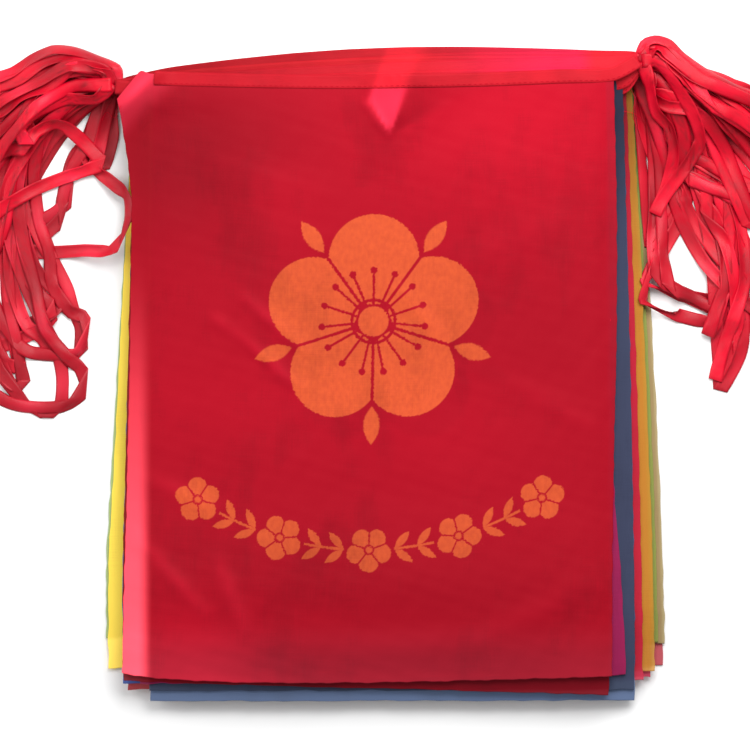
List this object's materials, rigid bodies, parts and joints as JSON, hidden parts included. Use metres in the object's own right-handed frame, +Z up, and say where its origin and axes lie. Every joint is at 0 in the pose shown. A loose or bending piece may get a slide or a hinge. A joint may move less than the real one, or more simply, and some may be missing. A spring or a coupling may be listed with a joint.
{
  "type": "folded string of cloth flags with ribbon",
  "caption": "Garland of upright rectangular cloth flags sewn to one narrow ribbon, zigzag folded into a flat pile with the ribbon bunched at both upper corners.",
  "frame": {"origin": "on the flat underside of the lowest flag, near the middle of the pile", "axes": "+Z up from the surface the pile lies on, +Y to the sewn heads of the flags, +X to the right of the flags seen from above"},
  "size_m": [0.5082, 0.3829, 0.0307],
  "materials": {
    "dark_red_cloth": "thin woven polyester, faintly translucent, soft sheen",
    "khaki_cloth": "thin woven polyester, faintly translucent, soft sheen",
    "green_cloth": "thin woven polyester, faintly translucent, soft sheen",
    "pale_green_cloth": "thin woven polyester, faintly translucent, soft sheen",
    "orange_cloth": "thin woven polyester, faintly translucent, soft sheen",
    "yellow_cloth": "thin woven polyester, faintly translucent, soft sheen",
    "pink_cloth": "thin woven polyester, faintly translucent, soft sheen",
    "gold_cloth": "thin woven polyester, faintly translucent, soft sheen",
    "crimson_cloth": "thin woven polyester, faintly translucent, soft sheen",
    "red_cloth": "thin woven polyester, faintly translucent, soft sheen",
    "blue_cloth": "thin woven polyester, faintly translucent, soft sheen",
    "light_blue_cloth": "thin woven polyester, faintly translucent, soft sheen",
    "dark_blue_cloth": "thin woven polyester, faintly translucent, soft sheen",
    "magenta_cloth": "thin woven polyester, faintly translucent, soft sheen",
    "ribbon": "narrow woven polyester ribbon, satin"
  },
  "bodies": {
    "root": {"flag_01": "dark_red_cloth", "flag_02": "khaki_cloth", "flag_03": "green_cloth", "flag_04": "pale_green_cloth", "flag_05": "orange_cloth", "flag_06": "yellow_cloth", "flag_07": "pink_cloth", "flag_08": "gold_cloth", "flag_09": "crimson_cloth", "flag_10": "red_cloth", "flag_11": "blue_cloth", "flag_12": "light_blue_cloth", "flag_13": "dark_blue_cloth", "flag_14": "magenta_cloth", "flag_15": "red_cloth", "flag_16": "red_cloth", "header_01": "ribbon", "header_02": "ribbon", "header_03": "ribbon", "header_04": "ribbon", "header_05": "ribbon", "header_06": "ribbon", "header_07": "ribbon", "header_08": "ribbon", "header_09": "ribbon", "header_10": "ribbon", "header_11": "ribbon", "header_12": "ribbon", "header_13": "ribbon", "header_14": "ribbon", "header_15": "ribbon", "header_16": "ribbon", "hank_left": "ribbon", "hank_right": "ribbon"}
  },
  "joints": []
}
